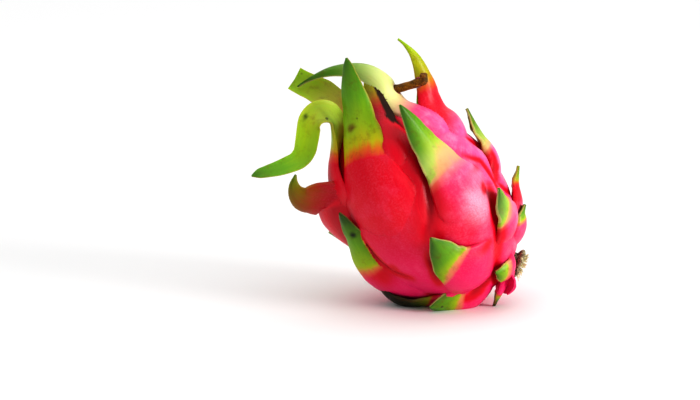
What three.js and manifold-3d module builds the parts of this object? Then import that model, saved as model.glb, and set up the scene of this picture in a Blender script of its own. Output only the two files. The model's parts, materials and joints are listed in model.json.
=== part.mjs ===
// A whole dragon fruit (pitaya) as picked, lying tilted on its underside: a plump egg-shaped body, bent a little,
// covered in scales that grow out of the skin and stand free as leafy blades round the flower end.
// Millimetres, +Z up. The origin is on the resting surface, under the middle of the whole fruit.
import * as THREE from "three";
import { mergeVertices } from "three/addons/utils/BufferGeometryUtils.js";
import Module from "manifold-3d";

const wasm = await Module();
wasm.setup();
const DEG = Math.PI / 180;

// The body. Polar angles run from 0 at the flower end to 180 at the stem end. Turns run round the long axis:
// 0 faces the upper right, 90 the back, 180 the lower left and 270 the front.
const BODY_HALF_LENGTH = 54.5;
const BODY_HALF_WIDTH = 40.5;
const BODY_TILT = 41; // from upright, towards -X
const BODY_BEND = 20; // both ends bend this far towards the upper right
const BODY_MIDDLE = [16.5, -0.7, 50.5];
const BODY_AROUND = 40;
const BODY_ALONG = 24;
const NAVEL_ANGLE = 14;
const NAVEL_DEPTH = 6;
const STEM_ANGLE = 12;
const STEM_DEPTH = 3;

// Scales. Each has a lobe that swells the skin, from a sunk root to the axil, and a free blade from there on.
const LOBE_SHARE = 1.6; // lobe half width over the half width at the axil
const LOBE_THICK = 5; // in the middle, half of it sunk
const TIP_THICK = 1.5;
const ROOT_DEPTH = 4;
const AXIL_HEIGHT = 2; // of the lobe's middle layer above the smooth body
const EDGE_SHARE = 0.4; // edge thickness over middle thickness
const CUP = 35; // half angle of a free blade's arched section
const WRAP = 65; // the most that half a lobe wraps round the body
const LOBE_STEPS = 4;
const BLADE_STEP = 4; // length of blade to a section
const SCALE_ACROSS = 4;
const THINNING = 1.7; // power by which a blade thins towards its tip
const NARROWING = 0.65; // power by which it narrows, unless the scale gives a taper
const LEAST_HALF = 0.5; // half width where a blade ends in a point

// The scales that the front shows, from the stem end to the flower end. at: polar angle and turn of the axil;
// base: degrees of polar angle that its lobe runs back along the skin; free: blade length; wide: half width at
// the axil; cant: how far the scale is turned about its length by the time it leaves the skin; curl, swing and
// roll: how far the blade then turns outward about the axil, to its own left, and about its own length, each
// shared out in turn along the blade; taper: power of the narrowing, low for a blade that stays wide; tip: share
// of the width left at the end, where the blade is blunt or broken off.
const FRONT_SCALES = [
  { at: [165, 235], base: 12, free: 7, wide: 8, curl: [70, -20], tip: 0.7 },
  { at: [161, 225], base: 14, free: 12, wide: 6, curl: [34, -5, 0] },
  { at: [158, 263], base: 14, free: 11, wide: 9, curl: [4, -16, -16] },
  { at: [136, 210], base: 24, free: 19, wide: 12, curl: [12, 4, 0], swing: [-18, 0, 0], cant: 28 },
  { at: [132, 0], base: 20, free: 15, wide: 8, curl: [15, 10, 0], swing: [-8, 0, 0] },
  { at: [129, 320], base: 22, free: 18, wide: 9, curl: [8, 4, 0] },
  { at: [118, 258], base: 30, free: 22, wide: 12, curl: [10, 5, 0], swing: [-21, 0, 0] },
  { at: [121, 188], base: 24, free: 28, wide: 14, curl: [23, -5, -22, -20, -18], taper: 0.5 },
  { at: [97, 196], base: 30, free: 40, wide: 11, curl: [2, 2, 0], swing: [-28, 0, 0], cant: 40, taper: 0.6 },
  { at: [87, 7], base: 28, free: 21, wide: 9, curl: [14, 2, 0], swing: [3, 0, 0] },
  { at: [74, 303], base: 40, free: 39, wide: 11, curl: [10, 6, 0], swing: [5] },
  {
    at: [65, 205], base: 26, free: 34, wide: 15,
    curl: [72, 5, -60, -50], cant: 30, roll: [20, 0, 0], taper: 0.9,
  },
  { at: [46, 247], base: 46, free: 50.5, wide: 13, curl: [20, 5, 0], swing: [-11], taper: 0.6 },
  {
    at: [46, 205], base: 26, free: 85, wide: 8,
    curl: [0, 12, 85, 83, -5, -55, -10, 0], cant: -20, roll: [-40, 0, 0], taper: 0.35,
  },
  {
    at: [46, 355], base: 26, free: 46, wide: 9.8,
    curl: [53, -14, -27], cant: -20, roll: [-30, 0, 0], taper: 1,
  },
  { at: [24, 271], base: 40, free: 27, wide: 8.2, curl: [20, 0, 0], swing: [3, 0, 0], taper: 0.6 },
  {
    at: [21, 337], base: 40, free: 68, wide: 8.4,
    curl: [50, -53, -25, -16], roll: [-45, 0, 0, 0], taper: 0.9,
  },
  { at: [29, 150], base: 24, free: 39, wide: 7.5, curl: [80, 25, 0], roll: [-50, 0, 0], tip: 0.9 },
];

// The scales of the back, on staggered rings that carry on the spacing of the front.
const BACK_RINGS = [
  { polar: 152, turns: [345, 60, 130], free: 9, wide: 7 },
  { polar: 131, turns: [52, 104, 158], free: 14, wide: 9 },
  { polar: 110, turns: [62, 124], free: 18, wide: 10 },
  { polar: 90, turns: [92, 134, 168], free: 22, wide: 11 },
  { polar: 68, turns: [50, 118], free: 26, wide: 11 },
  { polar: 44, turns: [84, 140], free: 30, wide: 10 },
];
const BACK_JITTER = 5; // degrees, seeded
const SEED = 7;

// The dried stub of the stalk and the withered flower, each a plug in a socket of the fruit.
const STUB_RADIUS = 7;
const STUB_PLUG = 5;
const STUB_SUNK = 7; // below the smooth body's surface, which is dimpled here
const STUB_OUT = 6;
const STUB_ROOM = 1.35; // radius that the fruit leaves free over the stub's radius
const STUB_SIDES = 14;
const REMNANT_RADIUS = 2.2;
const REMNANT_SUNK = 11;
const REMNANT_BENDS = [
  [-19, 2, 56.5], [-13, 0, 58.5], [-8, -3, 60.6], [-3.2, -5.8, 62.8], [-1.2, -7.6, 63.8], [-1.3, -8.6, 67.6],
]; // from the body's middle
const REMNANT_STEPS = 16;
const REMNANT_SIDES = 8;
const GAP = 0.35;
const BEYOND = 200; // larger than the fruit, for what is cut away below and outside it

const LONG = new THREE.Vector3(-Math.sin(BODY_TILT * DEG), 0, Math.cos(BODY_TILT * DEG));
const SIDE = new THREE.Vector3(Math.cos(BODY_TILT * DEG), 0, Math.sin(BODY_TILT * DEG));
const BACK = new THREE.Vector3(0, 1, 0);
const MIDDLE = new THREE.Vector3(...BODY_MIDDLE);

// The smooth body at a polar angle and turn: a unit sphere, bent about its middle by BODY_BEND times the cosine
// of the polar angle, then stretched to the half length and half width. Gives the point and the outward normal.
function bodyAt(polar, turn) {
  const p = polar * DEG;
  const t = turn * DEG;
  const bend = BODY_BEND * DEG * Math.cos(p);
  const along = Math.cos(p) * Math.cos(bend) - Math.sin(p) * Math.cos(t) * Math.sin(bend);
  const aside = Math.cos(p) * Math.sin(bend) + Math.sin(p) * Math.cos(t) * Math.cos(bend);
  const behind = Math.sin(p) * Math.sin(t);
  const mix = (a, b, c) =>
    new THREE.Vector3().addScaledVector(LONG, a).addScaledVector(SIDE, b).addScaledVector(BACK, c);
  const point = mix(along * BODY_HALF_LENGTH, aside * BODY_HALF_WIDTH, behind * BODY_HALF_WIDTH).add(MIDDLE);
  const normal = mix(along / BODY_HALF_LENGTH, aside / BODY_HALF_WIDTH, behind / BODY_HALF_WIDTH).normalize();
  return { point, normal };
}

// A body point with the directions up the skin towards the flower end, and across it.
function skinFrame(polar, turn) {
  const { point, normal } = bodyAt(polar, turn);
  const ahead = bodyAt(polar - 0.5, turn).point.sub(bodyAt(polar + 0.5, turn).point).normalize();
  const up = ahead.addScaledVector(normal, -ahead.dot(normal)).normalize();
  return { point, normal, up, across: new THREE.Vector3().crossVectors(normal, up) };
}

// A small seeded generator of numbers from -1 to 1.
function makeDraw(seed) {
  let state = seed;
  return () => {
    state = (state * 48271) % 2147483647;
    return (2 * state) / 2147483647 - 1;
  };
}

function backScales() {
  const draw = makeDraw(SEED);
  return BACK_RINGS.flatMap((ring) =>
    ring.turns.map((turn) => ({
      at: [ring.polar + BACK_JITTER * draw(), turn + BACK_JITTER * draw()],
      base: 12 + ring.free,
      free: ring.free * (1 + 0.1 * draw()),
      wide: ring.wide,
      curl: [16 + 6 * draw(), 10, 0],
      swing: [8 * draw()],
    })),
  );
}

const SCALES = [...FRONT_SCALES, ...backScales()];

// A solid from rings of points: each ring joins the next, and both ends close on the ring's middle.
function solidOfRings(rings) {
  const count = rings[0].length;
  const places = rings.flat().flatMap((p) => [p.x, p.y, p.z]);
  const faces = [];
  for (let i = 0; i + 1 < rings.length; i++)
    for (let j = 0; j < count; j++) {
      const a = i * count + j;
      const b = i * count + ((j + 1) % count);
      faces.push(a, b, b + count, a, b + count, a + count);
    }
  for (const [first, turned] of [[0, true], [(rings.length - 1) * count, false]]) {
    const middle = new THREE.Vector3();
    for (let j = 0; j < count; j++) middle.add(rings[first / count][j]);
    middle.divideScalar(count);
    const hub = places.length / 3;
    places.push(middle.x, middle.y, middle.z);
    for (let j = 0; j < count; j++) {
      const a = first + j;
      const b = first + ((j + 1) % count);
      faces.push(...(turned ? [hub, b, a] : [hub, a, b]));
    }
  }
  const geometry = new THREE.BufferGeometry();
  geometry.setAttribute("position", new THREE.Float32BufferAttribute(places, 3));
  geometry.setIndex(faces);
  return solidOfGeometry(geometry);
}

function solidOfGeometry(geometry) {
  const bare = geometry.clone();
  bare.deleteAttribute("normal");
  bare.deleteAttribute("uv");
  const merged = mergeVertices(bare, 1e-4);
  const build = (triVerts) =>
    new wasm.Manifold(
      new wasm.Mesh({ numProp: 3, vertProperties: merged.attributes.position.array, triVerts }),
    );
  const made = build(new Uint32Array(merged.index.array));
  if (made.volume() > 0) return made;
  return build(new Uint32Array(merged.index.array).reverse());
}

function geometryOfSolid(solid) {
  const mesh = solid.getMesh();
  const places = new Float32Array(mesh.numVert * 3);
  for (let i = 0; i < mesh.numVert; i++)
    places.set(mesh.vertProperties.subarray(i * mesh.numProp, i * mesh.numProp + 3), i * 3);
  const geometry = new THREE.BufferGeometry();
  geometry.setAttribute("position", new THREE.BufferAttribute(places, 3));
  geometry.setIndex(new THREE.BufferAttribute(mesh.triVerts, 1));
  return geometry;
}

function bodySolid() {
  const rings = [];
  for (let i = 0; i < BODY_ALONG; i++) {
    const polar = (180 * (i + 0.35)) / (BODY_ALONG - 0.3);
    const ring = [];
    for (let j = 0; j < BODY_AROUND; j++) {
      const { point, normal } = bodyAt(polar, (360 * j) / BODY_AROUND);
      const navel = Math.max(0, 1 - (polar / NAVEL_ANGLE) ** 2) * NAVEL_DEPTH;
      const stem = Math.max(0, 1 - ((180 - polar) / STEM_ANGLE) ** 2) * STEM_DEPTH;
      ring.push(point.addScaledVector(normal, -navel - stem));
    }
    rings.push(ring);
  }
  return solidOfRings(rings);
}

// Half width, middle layer's height and edge drop of a lobe, z being 0 at the axil and 1 at the sunk root.
function lobeSection(scale, z) {
  const lobe = scale.wide * LOBE_SHARE;
  const spread = Math.sin(90 * DEG * Math.min(1, z / 0.6));
  return {
    half: scale.wide + (lobe - scale.wide) * spread - 0.5 * lobe * Math.max(0, (z - 0.5) / 0.5) ** 2,
    height: AXIL_HEIGHT - (ROOT_DEPTH + AXIL_HEIGHT) * z ** 2,
    drop: 0.3 + 1.5 * z,
  };
}

// The line down the middle of a scale, as stations with a point, a frame and the size of the section there. The
// lobe follows the skin and rises from its root; the blade goes on from the axil, turning a little at each step.
function scaleStations(scale) {
  const [polar, turn] = scale.at;
  const stations = [];
  for (let i = 0; i <= LOBE_STEPS; i++) {
    const z = 1 - i / LOBE_STEPS;
    const frame = skinFrame(polar + z * scale.base, turn);
    const section = lobeSection(scale, z);
    const girth = BODY_HALF_WIDTH * Math.sin((polar + z * scale.base) * DEG);
    frame.point.addScaledVector(frame.normal, section.height);
    frame.normal.applyAxisAngle(frame.up, (scale.cant ?? 0) * (1 - z) * DEG);
    frame.across.applyAxisAngle(frame.up, (scale.cant ?? 0) * (1 - z) * DEG);
    stations.push({ ...frame, ...section, thick: LOBE_THICK, cup: Math.min(WRAP * DEG, section.half / girth) });
  }
  const last = stations[LOBE_STEPS];
  const at = last.point.clone();
  const hinge = skinFrame(polar, turn).across;
  const frame = { normal: last.normal.clone(), up: last.up.clone(), across: last.across.clone() };
  const bends = scale.curl.length;
  const steps = bends * Math.max(1, Math.round(scale.free / BLADE_STEP / bends));
  const turnBy = (axis, degrees) => {
    for (const v of Object.values(frame)) v.applyAxisAngle(axis, (degrees * DEG) / steps);
  };
  for (let i = 1; i <= steps; i++) {
    const y = i / steps;
    const share = (list = [0]) => list[Math.floor((y - 0.5 / steps) * list.length)] * list.length;
    turnBy(hinge, -share(scale.curl));
    turnBy(frame.normal.clone(), share(scale.swing));
    turnBy(frame.up.clone(), share(scale.roll));
    at.addScaledVector(frame.up, scale.free / steps);
    const tip = scale.tip ?? 0;
    const narrowing = tip + (1 - tip) * (1 - y) ** (scale.taper ?? NARROWING);
    stations.push({
      point: at.clone(),
      normal: frame.normal.clone(),
      up: frame.up.clone(),
      across: frame.across.clone(),
      half: Math.max(LEAST_HALF, scale.wide * narrowing),
      thick: TIP_THICK + (LOBE_THICK - TIP_THICK) * (1 - y) ** THINNING,
      drop: 0.3 * Math.max(0, 1 - 4 * y),
      cup: last.cup + (CUP * DEG - last.cup) * Math.min(1, 2 * y),
    });
  }
  return stations;
}

// A scale's solid: at each station an arched section, thick in the middle and thin at its edges.
function scaleSolid(scale) {
  const rings = scaleStations(scale).map((station) => {
    const { point, normal, across, half, thick, drop, cup } = station;
    const radius = half / cup;
    const face = (side) =>
      Array.from({ length: SCALE_ACROSS + 1 }, (_, j) => {
        const tau = (2 * j) / SCALE_ACROSS - 1;
        const layer = thick * (EDGE_SHARE + (1 - EDGE_SHARE) * (1 - tau * tau)) * 0.5;
        const rise = side * layer - radius * (1 - Math.cos(cup * tau)) - drop * tau * tau;
        return point
          .clone()
          .addScaledVector(across, radius * Math.sin(cup * tau))
          .addScaledVector(normal, rise);
      });
    return [...face(1), ...face(-1).reverse()];
  });
  return solidOfRings(rings);
}

// The body with all its scales, less the rooms of the stub and the withered flower and what is below the ground.
function fruitSolid() {
  let fruit = bodySolid();
  for (const scale of SCALES) fruit = fruit.add(scaleSolid(scale));
  const ground = new THREE.BoxGeometry(2 * BEYOND, 2 * BEYOND, BEYOND).translate(0, 0, -BEYOND / 2);
  const trimmed = fruit.subtract(stubRoom()).subtract(remnantSolid(2 * GAP)).subtract(solidOfGeometry(ground));
  return trimmed.decompose().reduce((most, piece) => (piece.volume() > most.volume() ? piece : most));
}

// A bar whose rings stand at right angles to a path. Each step gives a centre and radius, and the seeded share by
// which the radius varies and distance by which the ring is ragged.
function barSolid(steps, sides) {
  const draw = makeDraw(SEED);
  const first = steps[1].centre.clone().sub(steps[0].centre).normalize();
  const start = Math.abs(first.y) < 0.9 ? BACK : LONG;
  const rings = steps.map((step, i) => {
    const before = steps[Math.max(0, i - 1)].centre;
    const after = steps[Math.min(steps.length - 1, i + 1)].centre;
    const ahead = after.clone().sub(before).normalize();
    const u = new THREE.Vector3().crossVectors(start, ahead).normalize();
    const v = new THREE.Vector3().crossVectors(ahead, u);
    return Array.from({ length: sides }, (_, j) => {
      const angle = (360 * DEG * j) / sides;
      const radius = step.radius * (1 + (step.rough ?? 0) * draw());
      const lift = (step.ragged ?? 0) * draw();
      return step.centre
        .clone()
        .addScaledVector(u, radius * Math.cos(angle))
        .addScaledVector(v, radius * Math.sin(angle))
        .addScaledVector(ahead, lift);
    });
  });
  return solidOfRings(rings);
}

// The dried stub of the stalk: a plug, a rough collar and a ragged, hollowed cut face. Each entry is a distance
// out from the stem end, a radius, and how far radius and rim are rough.
function stubSolid() {
  const steps = alongStem([
    [-STUB_SUNK, STUB_PLUG],
    [1, STUB_PLUG],
    [2.2, STUB_RADIUS, 0.12, 0.4],
    [0.65 * STUB_OUT, STUB_RADIUS * 1.05, 0.15, 0.8],
    [STUB_OUT, STUB_RADIUS * 0.85, 0.2, 1.6],
    [STUB_OUT - 2, STUB_RADIUS * 0.35, 0.2, 0.3],
  ]);
  return barSolid(steps, STUB_SIDES);
}

// What the stub needs clear: a bore for its plug and a widening room for its collar.
function stubRoom() {
  const bore = STUB_PLUG + GAP;
  const room = STUB_ROOM * STUB_RADIUS;
  const steps = alongStem([[-STUB_SUNK - GAP, bore], [0.3, bore], [1, room], [3 * STUB_OUT, 1.3 * room]]);
  return barSolid(steps, STUB_SIDES);
}

// Steps of a bar out along the stem end's normal.
function alongStem(list) {
  const { point, normal } = bodyAt(180, 0);
  return list.map(([out, radius, rough, ragged]) => ({
    centre: point.clone().addScaledVector(normal, out),
    radius,
    rough,
    ragged,
  }));
}

// The withered flower: a stick out of the navel that leans over and ends in a hook. The extra is added all round
// for the room that it needs clear, which is smooth.
function remnantSolid(extra) {
  const { point, normal } = bodyAt(0, 0);
  const out = (distance) => point.clone().addScaledVector(normal, distance);
  const bends = REMNANT_BENDS.map((bend) => new THREE.Vector3(...bend).add(MIDDLE));
  const path = new THREE.CatmullRomCurve3([out(-REMNANT_SUNK - extra), out(-3), out(4), ...bends]);
  const steps = path.getPoints(REMNANT_STEPS).map((centre, i) => {
    const radius = REMNANT_RADIUS * (1.1 - (0.25 * i) / REMNANT_STEPS) + extra;
    return { centre, radius, rough: i > REMNANT_STEPS / 2 && !extra ? 0.12 : 0 };
  });
  return barSolid(steps, REMNANT_SIDES);
}

const look = (color, roughness) => new THREE.MeshStandardMaterial({ color, roughness, metalness: 0 });
const SKIN_PINK = look(0xd8103c, 0.45);
const DRY_BROWN = look(0x7a6232, 0.9);
const WITHERED = look(0x5b4020, 0.9);

const part = new THREE.Group();
for (const [name, solid, material] of [
  ["fruit", fruitSolid(), SKIN_PINK],
  ["stem_stub", stubSolid(), DRY_BROWN],
  ["flower_remnant", remnantSolid(0), WITHERED],
]) {
  const mesh = new THREE.Mesh(geometryOfSolid(solid), material);
  mesh.name = name;
  part.add(mesh);
}

export default part;
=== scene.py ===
"""A whole dragon fruit (pitaya) lying tilted on its underside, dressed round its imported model.

The skin is one closed surface: a bent, stretched sphere joined to leafy scales, each an arched section
carried up a lobe on the skin and out along a free blade. The dried stub of the stalk and the withered
flower are pieces of their own. Lengths are metres, +Z is up, and the part's front faces -Y.
"""

import json
import math

import bpy
import numpy as np
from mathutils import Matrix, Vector

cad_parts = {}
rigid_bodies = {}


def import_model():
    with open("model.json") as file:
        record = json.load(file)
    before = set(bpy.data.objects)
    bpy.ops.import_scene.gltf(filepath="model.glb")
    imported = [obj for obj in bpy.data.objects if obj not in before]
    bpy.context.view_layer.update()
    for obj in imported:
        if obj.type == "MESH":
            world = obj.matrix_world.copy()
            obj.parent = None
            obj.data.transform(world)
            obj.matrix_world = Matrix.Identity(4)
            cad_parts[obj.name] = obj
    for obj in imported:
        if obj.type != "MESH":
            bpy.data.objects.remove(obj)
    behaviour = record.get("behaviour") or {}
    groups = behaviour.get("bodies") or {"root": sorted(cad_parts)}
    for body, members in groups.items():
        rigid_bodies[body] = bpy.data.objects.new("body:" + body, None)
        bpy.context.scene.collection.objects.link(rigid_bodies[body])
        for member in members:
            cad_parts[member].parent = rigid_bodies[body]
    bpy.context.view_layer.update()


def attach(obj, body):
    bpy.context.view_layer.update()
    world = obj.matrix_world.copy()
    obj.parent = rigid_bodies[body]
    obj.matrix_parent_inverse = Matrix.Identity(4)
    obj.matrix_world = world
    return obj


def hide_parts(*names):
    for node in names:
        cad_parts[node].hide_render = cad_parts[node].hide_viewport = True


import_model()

bl_info = {
    "name": "Dragon Fruit Maker",
    "version": (1, 0, 0),
    "blender": (4, 5, 0),
    "location": "View3D > Sidebar > Dragon Fruit",
    "description": "Builds the skin, leafy scales, stalk stub and withered flower of a dragon fruit",
    "category": "Add Mesh",
}

MM = 0.001
DEG = math.pi / 180

# The scales of the front, from the stem end to the flower end, in millimetres and degrees.
# at: polar angle and turn of the axil. base: degrees that the lobe runs back along the skin. free: length
# of the blade. wide: half width at the axil. taper: low for a blade that stays broad. tip: share of the
# width left at a blunt tip. curl, swing, roll: how far the blade turns outward, to its own left, and
# about its own length, in even steps from the axil to the tip. cant: the axil's own roll.
# green: from red, 0.3, through yellow, 0.5, to dark green, 1, at even steps too. slant adds to it on the
# left and takes from it on the right; edge adds to it at both margins. pale, brown, dark: shares of pale
# yellow, brown and near black at even steps; on some scales the pale share is a painted highlight and the
# near black is painted shade. rust and specks: round marks of brown and near black, each by its share
# along the blade, its place across from -1 to 1, its reach and its strength. dry: withered share of the
# right margin. pink: added to the share of pink in the lobe's red, partly the skin's own colour and partly
# painted light; from -1 down to -2 the lobe turns dark red, painted shade on lobes that lie in shadow.
FRONT_SCALES = [
    dict(at=(165, 235), base=12, free=7, wide=8, curl=(70, -20), tip=0.7, pink=-1.0),
    dict(at=(161, 225), base=14, free=13, wide=6, curl=(30, 0, 0), swing=(38, 20, 0),
         green=(0.1, 0.25, 1.0, 1.0), brown=(0, 0.4, 0.3, 0.2), dark=(0, 0, 0.2, 0.5), pink=-1.1),
    dict(at=(158, 263), base=14, free=11, wide=7.6, curl=(4, -16, -16), green=(0.32, 0.62, 0.8), slant=0.08,
         edge=0.08, pink=0.05),
    dict(at=(136, 210), base=24, free=19, wide=12, curl=(12, 4, 0), swing=(-18, 0, 0), cant=28,
         green=(0.42, 0.72, 0.88), edge=0.1, pink=0.1),
    dict(at=(132, 0), base=20, free=15, wide=8, curl=(15, 10, 0), swing=(-8, 0, 0),
         green=(0.1, 0.3, 0.68, 0.75), brown=(0, 0.2, 0.35, 0.4), pink=-1),
    dict(at=(129, 320), base=22, free=18, wide=9, curl=(8, 4, 0), green=(0.3, 0.6, 0.74, 0.78), slant=0.2,
         edge=0.05, pale=(0.1, 0.1, 0.05, 0), pink=0.2),
    dict(at=(118, 258), base=30, free=25, wide=12, curl=(6, 2, 0), swing=(-23, 0, 0), taper=0.75,
         green=(0.4, 0.7, 0.82, 0.92), slant=0.08, edge=0.12, pink=0.05),
    # This scale lies underneath, in shadow: its near black share and its dark red lobe are painted shade.
    dict(at=(121, 188), base=24, free=28, wide=14, curl=(23, -5, -22, -20, -18), taper=0.5,
         green=(0.5, 1.0, 1.0, 1.0), brown=(0.1, 0.4, 0.5), dark=(0.3, 0.8, 0.9, 0.9), pink=-1.5),
    dict(at=(97, 200), base=30, free=42, wide=10, curl=(6, 2, 0), swing=(-34, 0, 0), cant=33, taper=0.6,
         green=(0.28, 0.6, 0.69, 0.76, 0.86, 1.0), dark=(0, 0, 0, 0.2, 0.5), slant=-0.03, pink=-0.03,
         specks=((0.66, -0.2, 2.2, 0.9),)),
    dict(at=(87, 7), base=28, free=21, wide=9, curl=(14, 2, 0), swing=(3, 0, 0),
         green=(0.45, 0.62, 0.7, 0.85), pale=(0.3, 0.15, 0, 0), brown=(0, 0.1, 0.2, 0.3), pink=0.2),
    dict(at=(74, 303), base=40, free=39, wide=11, curl=(10, 6, 0), swing=(5,),
         green=(0.42, 0.53, 0.62, 0.72, 0.82, 0.94), slant=0.1, edge=0.1, pale=(0.2, 0.3, 0.05, 0, 0, 0),
         pink=0.1),
    # Its dark red lobe is painted shade on the shaded left side.
    dict(at=(65, 205), base=26, free=34, wide=15, curl=(72, 5, -60, -50), cant=30, roll=(20, 0, 0),
         taper=0.9, green=(0.22, 0.34, 0.42, 0.52, 0.8), brown=(0.2, 0.6, 0.8, 0.8, 0.4), pink=-1.5),
    dict(at=(46, 247), base=46, free=50.5, wide=13, curl=(20, 5, 0), swing=(-11,), taper=0.6,
         green=(0.4, 0.53, 0.64, 0.72, 0.8, 0.88, 0.98), slant=0.02, edge=0.05, pink=-0.1,
         rust=((0.32, 0.4, 2.8, 0.8), (0.33, 0.15, 1.8, 0.5))),
    # Its dark red lobe is painted shade from the blade beside it; its small pale share near the top of the
    # hook is a painted highlight.
    dict(at=(46, 205), base=26, free=84.9, wide=8, curl=(0, 12, 85, 83, -5, -55, -10, 0), cant=-20,
         roll=(-40, 0, 0), taper=0.35, pink=-1.5, pale=(0, 0, 0.08, 0.08, 0, 0, 0, 0, 0),
         green=(0.3, 0.55, 0.7, 0.6, 0.58, 0.62, 0.68, 0.74, 0.8, 0.95), specks=((0.45, 0.5, 1.6, 0.8),)),
    dict(at=(46, 355), base=26, free=46, wide=9.8, curl=(53, -14, -27), cant=-20, roll=(-30, 0, 0), taper=1,
         green=(0.1, 0.2, 0.44, 0.54, 0.58, 0.64), brown=(0, 0, 0.2, 0.15, 0, 0), pink=-1.0),
    # Its dark red lobe is painted shade.
    dict(at=(24, 271), base=40, free=30, wide=8.2, curl=(20, 0, 0), swing=(3, 0, 0), taper=0.6,
         green=(0.2, 0.34, 0.48, 0.56, 0.6), brown=(0.1, 0.4, 0.5, 0.3), dry=1.0, pink=-1.5),
    dict(at=(21, 337), base=40, free=68, wide=8.4, curl=(50, -53, -25, -16), roll=(-45, 0, 0, 0), taper=0.9,
         green=(0.25, 0.58, 0.66, 0.7, 0.76, 0.84, 0.95), pale=(0.35, 0.9, 0.6, 0.15, 0, 0, 0), pink=0.2),
    # Its pale share is painted light on a blade that faces away from the lamps.
    dict(at=(29, 150), base=24, free=39, wide=7.5, curl=(80, 25, 0), roll=(-50, 0, 0), tip=0.9,
         green=(0.42, 0.5, 0.58, 0.64), pale=(0.3, 0.2, 0.05, 0), pink=-0.2),
]

# The scales of the back stand on staggered rings: polar angle, turns, blade length and half width.
BACK_RINGS = [
    (152, (345, 60, 130), 9, 7),
    (131, (52, 104, 158), 14, 9),
    (110, (62, 124), 18, 10),
    (90, (92, 134, 168), 22, 11),
    (68, (50, 118), 26, 11),
    (44, (84, 140), 30, 10),
]
BACK_GREEN = (0.42, 0.62, 0.76, 0.88)
BACK_JITTER = 5
SEED = 7

# Creases of the skin beside and between the scales: depth and half width in millimetres, then the polar
# angles and turns that each runs through.
CREASES = [
    (2.2, 3.0, [(38, 292), (52, 292), (64, 292), (76, 288), (85, 280), (92, 270), (97, 259)]),
    (1.2, 2.0, [(75, 326), (88, 338), (99, 336), (108, 335), (114, 331)]),
    (0.9, 2.6, [(89, 332), (86, 314), (86, 302), (88, 291)]),
    (1.5, 3.4, [(105, 325), (112, 320), (120, 312), (129, 305), (137, 293), (145, 274)]),
    (1.6, 2.2, [(100, 262), (106, 266), (114, 268), (121, 272), (125, 278), (128, 286)]),
    (1.8, 2.4, [(102, 254), (110, 246), (119, 232)]),
    (2.4, 2.6, [(122, 211), (130, 214), (139, 218), (145, 233), (150, 256)]),
    (2.2, 2.4, [(145, 274), (152, 254), (158, 230)]),
    (2.0, 3.0, [(72, 352), (85, 358), (96, 354), (108, 340)]),
    (1.0, 2.0, [(110, 338), (121, 344), (133, 364)]),
    (1.4, 2.2, [(28, 382), (40, 376), (52, 372), (64, 370)]),
    (2.0, 2.2, [(74, 212), (84, 213), (93, 212), (100, 214), (106, 222)]),
    (1.6, 2.0, [(18, 290), (29, 292), (36, 294)]),
    (1.0, 2.0, [(56, 270), (64, 274), (70, 278)]),
]

# Painted shade with no height of its own, where shadow falls in the hollows beside the blades and lobes:
# share of dark red and half width in millimetres, then polar angles and turns.
SHADES = [
    (0.9, 2.8, [(38, 293), (52, 291), (64, 290), (74, 285), (82, 281), (90, 273), (96, 262)]),
    (0.55, 8.0, [(30, 284), (44, 283), (60, 284), (74, 282), (86, 277), (97, 262)]),
    (0.85, 8.0, [(26, 196), (42, 204), (56, 206), (68, 202), (78, 202), (88, 200), (98, 204)]),
    (0.90, 3.4, [(68, 210), (76, 212), (84, 213), (92, 213), (98, 215), (106, 224)]),
    (0.60, 2.4, [(98, 262), (108, 268), (118, 268), (125, 276), (129, 290)]),
    (0.40, 3.6, [(107, 323), (111, 320), (116, 316), (124, 309), (131, 301), (138, 290), (145, 274)]),
    (0.50, 3.0, [(66, 4), (78, 6), (92, 8), (102, 353), (110, 338)]),
    (0.60, 2.2, [(119, 211), (130, 214), (140, 214), (147, 230)]),
    (0.85, 2.6, [(16, 291), (26, 294), (36, 296)]),
]

# Painted highlights: pale patches of painted light on the waxy skin, each by share and reach in millimetres,
# polar angle and turn.
PAINTED_HIGHLIGHTS = [
    (0.75, 15, 104, 306), (0.4, 12, 90, 318), (0.5, 12, 24, 20), (0.45, 14, 46, 14), (0.5, 12, 66, 8),
    (0.3, 12, 104, 2), (0.3, 10, 122, 358), (0.3, 9, 138, 330),
]

# Cushions of flesh between the creases: height and radius in millimetres, polar angle and turn.
CUSHIONS = [(2.2, 19, 100, 299), (1.5, 24, 68, 248), (1.2, 14, 47, 281), (1.2, 18, 98, 236)]

# A scale: half width of its lobe over that of its axil, thickness of its margins over that of its middle,
# steps of the lobe, length of a blade's steps in millimetres, half angle of a blade's arch, most that a
# lobe wraps round the body, length between stations, least number of stations, points round a station,
# and least half widths at a blade's steps and at a station.
LOBE_SHARE = 1.6
EDGE_SHARE = 0.4
LOBE_STEPS = 4
BLADE_STEP = 4
CUP = 35 * DEG
WRAP = 65 * DEG
STATION = 1.25 * MM
FEWEST_STATIONS = 24
ACROSS_POINTS = 48
TIP_HALF = 0.5 * MM
LEAST_HALF = 0.45 * MM

# Points of a crease's path. Rounds of means that find the hollows, soften them, and fill the seams of a
# join with these attributes.
PATH_POINTS = 30
HOLLOW_ROUNDS = 40
SOFTENING_ROUNDS = 3
SEAM_ROUNDS = 6
SHARES = ("green", "pale", "brown", "dark", "along", "margin", "pink", "dry")

# The body: rings, points round a ring, and how far each dimple reaches in degrees.
BODY_RINGS = 130
BODY_AROUND = 200
NAVEL_ANGLE = 14
STEM_ANGLE = 12

# The block of ground that is cut away: half its side, and its depth.
GROUND_REACH = 0.3
GROUND_DEPTH = 0.1

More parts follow.
